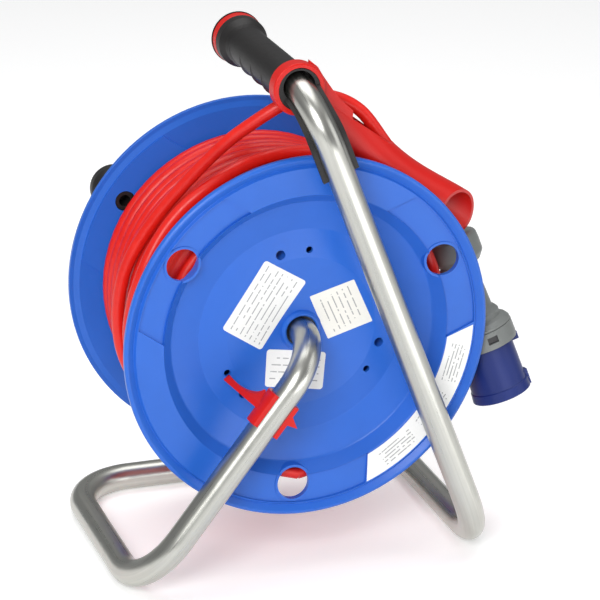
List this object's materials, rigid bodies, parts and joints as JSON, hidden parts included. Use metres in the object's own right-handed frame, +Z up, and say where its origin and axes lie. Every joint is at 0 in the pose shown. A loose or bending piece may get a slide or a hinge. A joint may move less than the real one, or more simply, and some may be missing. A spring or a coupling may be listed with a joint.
{
  "type": "extension cord reel",
  "caption": "Free-standing extension cord reel: a flanged plastic drum with wound red cord and covered sockets turns on a bent steel tube frame with a grip, cord guide and crank knob.",
  "frame": {"origin": "centre of the footprint of the reel without its lead and plug, at floor level", "axes": "+Z up; +Y from the leg side, where the near flange with the labels is, along the drum axle towards the crank knob and sockets; +X to the right for a viewer facing +Y, towards the hanging plug"},
  "size_m": [0.344, 0.246, 0.4114],
  "materials": {
    "zinc_steel": "zinc-plated tube with fine lengthwise streaks",
    "bright_steel": "bright zinc-plated steel",
    "grip_black": "fine grained black plastic",
    "guide_red": "smooth bright red plastic",
    "drum_blue": "smooth satin blue plastic",
    "panel_blue": "satin blue plastic",
    "bush_white": "natural nylon",
    "cee_blue": "glossy bright blue plastic",
    "socket_dark": "satin dark grey plastic",
    "contact_brass": "bright brass",
    "seal_rubber": "soft black rubber",
    "button_green": "glossy green plastic",
    "core_insulation": "brown core insulation",
    "label_white": "blank white film",
    "label_cream": "blank cream film",
    "cord_red": "satin red jacket",
    "clip_black": "satin black plastic",
    "plug_grey": "satin mid grey plastic",
    "collar_blue": "satin dark blue plastic",
    "pin_nickel": "nickel-plated brass"
  },
  "bodies": {
    "frame": {"frame_tube": "zinc_steel", "handle_grip": "grip_black", "grip_liner": "grip_black", "grip_ring_far": "guide_red", "grip_cap": "grip_black", "cable_guide": "guide_red", "axle_plug": "zinc_steel", "axle_washer": "bright_steel", "axle_screw": "bright_steel", "lead_cord": "cord_red", "plug_gland_nut": "plug_grey", "plug_body": "plug_grey", "plug_latch": "clip_black", "plug_collar": "collar_blue", "plug_carrier": "collar_blue", "plug_pins": "pin_nickel"},
    "drum": {"rear_flange": "drum_blue", "front_flange": "drum_blue", "hub_bush_rear": "socket_dark", "hub_bush_front": "socket_dark", "housing_screws": "bright_steel", "panel_screws": "bright_steel", "socket_panel": "panel_blue", "cee_socket": "cee_blue", "cee_contacts": "contact_brass", "earthed_socket_a": "socket_dark", "earthed_socket_b": "socket_dark", "socket_contacts": "contact_brass", "earth_clips": "bright_steel", "lid_pins": "bright_steel", "lid_springs": "bright_steel", "cutout_body": "socket_dark", "button_spring": "bright_steel", "terminal_block": "bush_white", "terminal_screws": "bright_steel", "cable_clamp": "socket_dark", "clamp_screws": "bright_steel", "core_leads": "core_insulation", "knob_stud": "grip_black", "label_rating": "label_white", "label_square": "label_cream", "label_code": "label_white", "label_curved": "label_white", "cable_coil": "cord_red"},
    "lid_blue": {"cee_lid": "cee_blue", "cee_lid_seal": "seal_rubber"},
    "lid_a": {"earthed_lid_a": "socket_dark", "earthed_lid_seal_a": "seal_rubber"},
    "lid_b": {"earthed_lid_b": "socket_dark", "earthed_lid_seal_b": "seal_rubber"},
    "button": {"reset_button": "button_green"},
    "knob": {"crank_knob": "grip_black"},
    "lock": {"lock_clip": "guide_red"}
  },
  "joints": [
    {"name": "drum_spin", "type": "hinge", "parent": "frame", "child": "drum", "pos_m": [0, -0.00425, 0.19375], "axis": [0, 1, 0], "continuous": true},
    {"name": "knob_spin", "type": "hinge", "parent": "drum", "child": "knob", "pos_m": [-0.09894, 0.1, 0.262], "axis": [0, 1, 0], "continuous": true},
    {"name": "blue_lid_hinge", "type": "hinge", "parent": "drum", "child": "lid_blue", "pos_m": [0.04924, 0.07135, 0.24351], "axis": [0.7108, 0, -0.7034], "range_deg": [0, 100], "stiffness_Nm_per_rad": 0.02, "springref_deg": -28.65},
    {"name": "lid_a_hinge", "type": "hinge", "parent": "drum", "child": "lid_a", "pos_m": [-0.06307, 0.06955, 0.2103], "axis": [0.2538, 0, 0.9673], "range_deg": [0, 100], "stiffness_Nm_per_rad": 0.02, "springref_deg": -28.65},
    {"name": "lid_b_hinge", "type": "hinge", "parent": "drum", "child": "lid_b", "pos_m": [0.01721, 0.06955, 0.13086], "axis": [-0.9646, 0, -0.2639], "range_deg": [0, 100], "stiffness_Nm_per_rad": 0.02, "springref_deg": -28.65},
    {"name": "reset_press", "type": "slide", "parent": "drum", "child": "button", "axis": [0, -1, 0], "range_m": [0, 0.003], "stiffness_N_per_m": 300},
    {"name": "lock_swing", "type": "hinge", "parent": "frame", "child": "lock", "pos_m": [0, -0.11225, 0.19375], "axis": [0.609, 0, 0.7932], "range_deg": [0, 75]}
  ]
}
